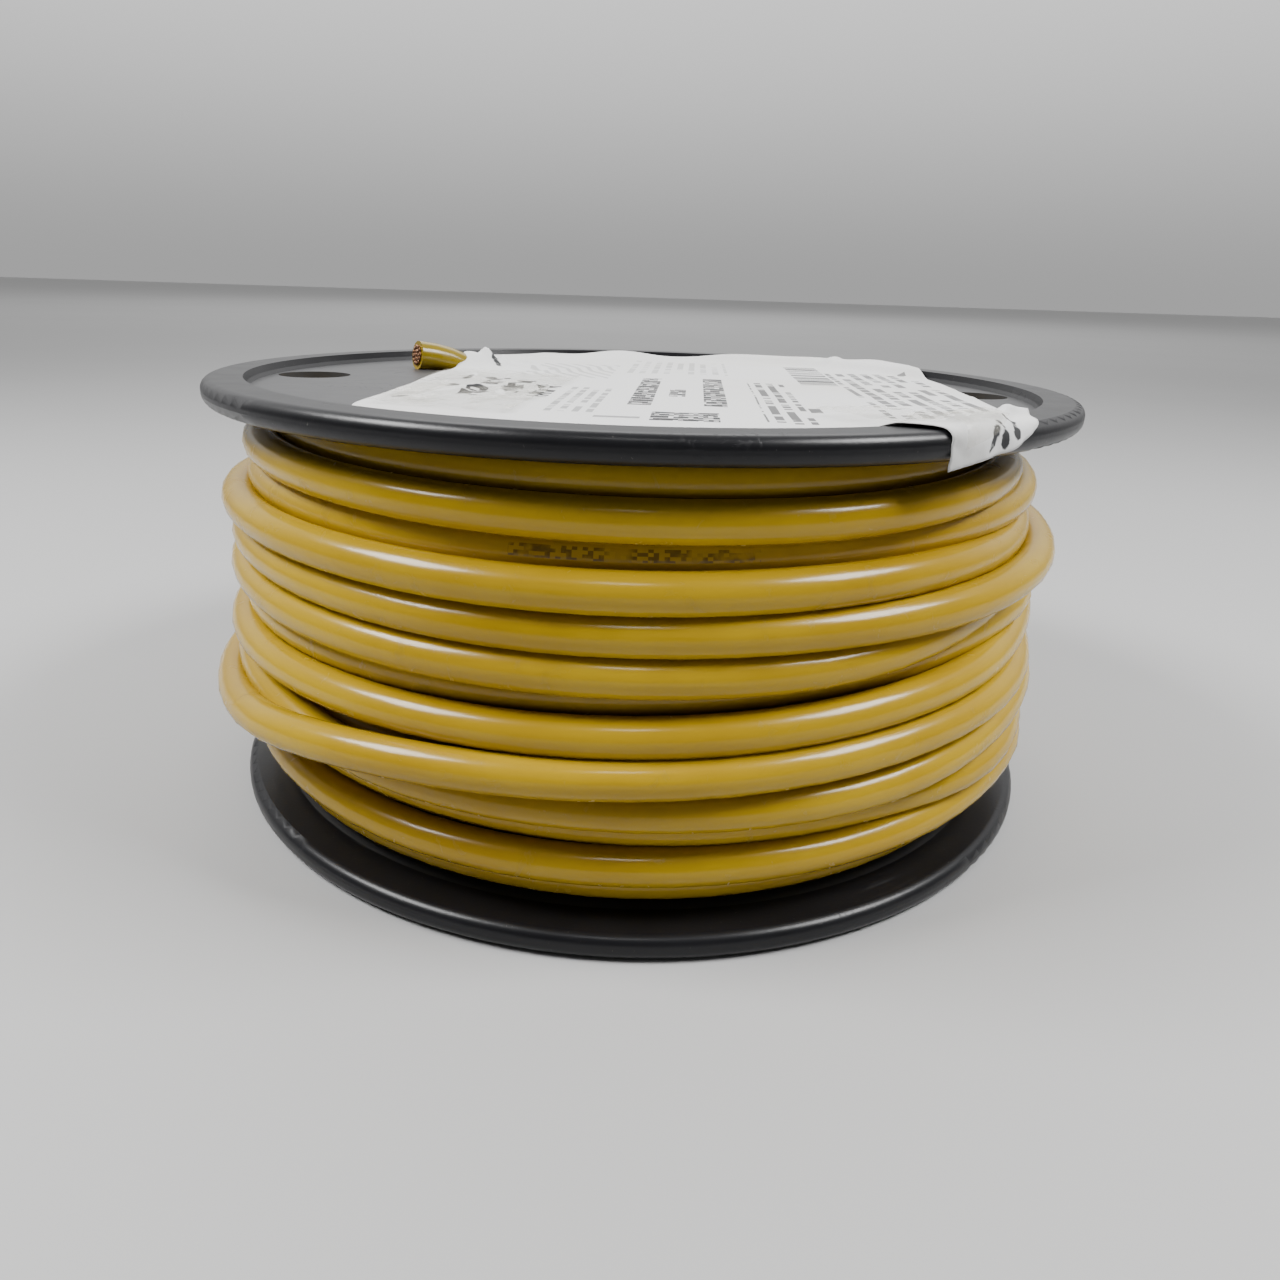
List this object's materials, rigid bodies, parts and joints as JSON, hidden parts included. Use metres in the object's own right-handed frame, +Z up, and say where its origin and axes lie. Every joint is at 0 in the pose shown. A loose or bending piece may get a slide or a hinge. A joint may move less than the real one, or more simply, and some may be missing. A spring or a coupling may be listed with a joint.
{
  "type": "wire spool",
  "caption": "Black moulded plastic spool full of yellow insulated cable, with a paper label on the upper flange, holding and paying out electrical cable on a rod.",
  "frame": {"origin": "centre of the lower flange's underside, on the spool's axis", "axes": "+Z up along the spool's axis; -Y is the front, from which the label's folded corner is at the right"},
  "size_m": [0.165, 0.165, 0.0824],
  "materials": {
    "flange_plastic": "satin moulded black polystyrene with fine scuffs, shiny at a low angle",
    "barrel_plastic": "plain black moulded plastic, hidden under the cable",
    "arbor_plastic": "dark extruded plastic tube with faint draw lines",
    "cable_jacket": "glossy yellow nylon-skinned insulation, slightly uneven, with soft scuffs",
    "copper_strand": "bare stranded copper, cut across",
    "label_paper": "matt white label paper with grey greeked bars, creased",
    "clear_tape": "clear glossy packing tape, slightly yellowed and wrinkled"
  },
  "bodies": {
    "root": {"upper_flange": "flange_plastic", "lower_flange": "flange_plastic", "barrel": "barrel_plastic", "arbor_tube": "arbor_plastic", "cable_winding": "cable_jacket", "cable_start": "cable_jacket", "cable_end": "cable_jacket", "start_conductor": "copper_strand", "end_conductor": "copper_strand", "label": "label_paper", "corner_tape": "clear_tape", "end_tape": "clear_tape"}
  },
  "joints": []
}
